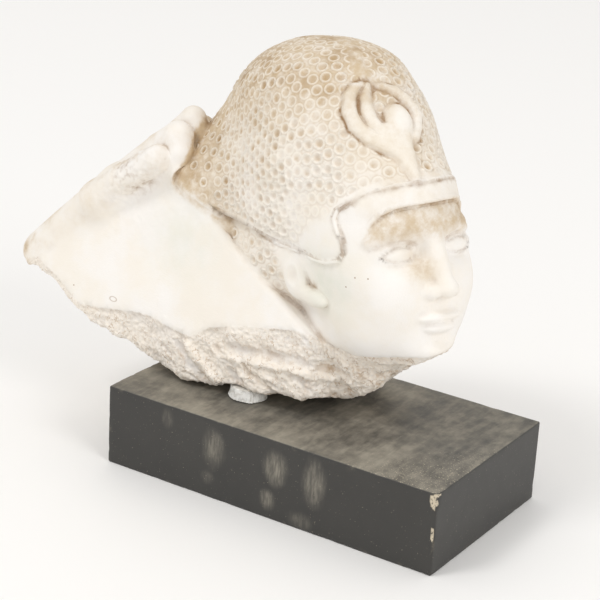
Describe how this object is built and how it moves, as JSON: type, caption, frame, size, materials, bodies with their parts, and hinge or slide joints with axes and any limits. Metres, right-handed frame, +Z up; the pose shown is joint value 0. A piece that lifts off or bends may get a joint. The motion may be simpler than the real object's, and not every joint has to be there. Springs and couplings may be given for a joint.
{
  "type": "plaster cast of a crowned head fragment on a plinth",
  "caption": "Off-white plaster cast of a crowned Egyptian head with a hand behind the crown, broken off below and set on a black wooden plinth.",
  "frame": {"origin": "centre of the plinth's underside", "axes": "+Z up, +X along the plinth's long side towards the face, +Y away from the side that shows the ear and the smooth web"},
  "size_m": [0.2682, 0.1187, 0.2107],
  "materials": {
    "plaster": "matt off-white plaster with a beige patina and a chalky broken underside",
    "black_paint": "wood under satin black paint, dusty and rubbed",
    "filler": "matt white filler"
  },
  "bodies": {
    "root": {"plaster_cast": "plaster", "plinth": "black_paint", "filler_plug": "filler"}
  },
  "joints": []
}
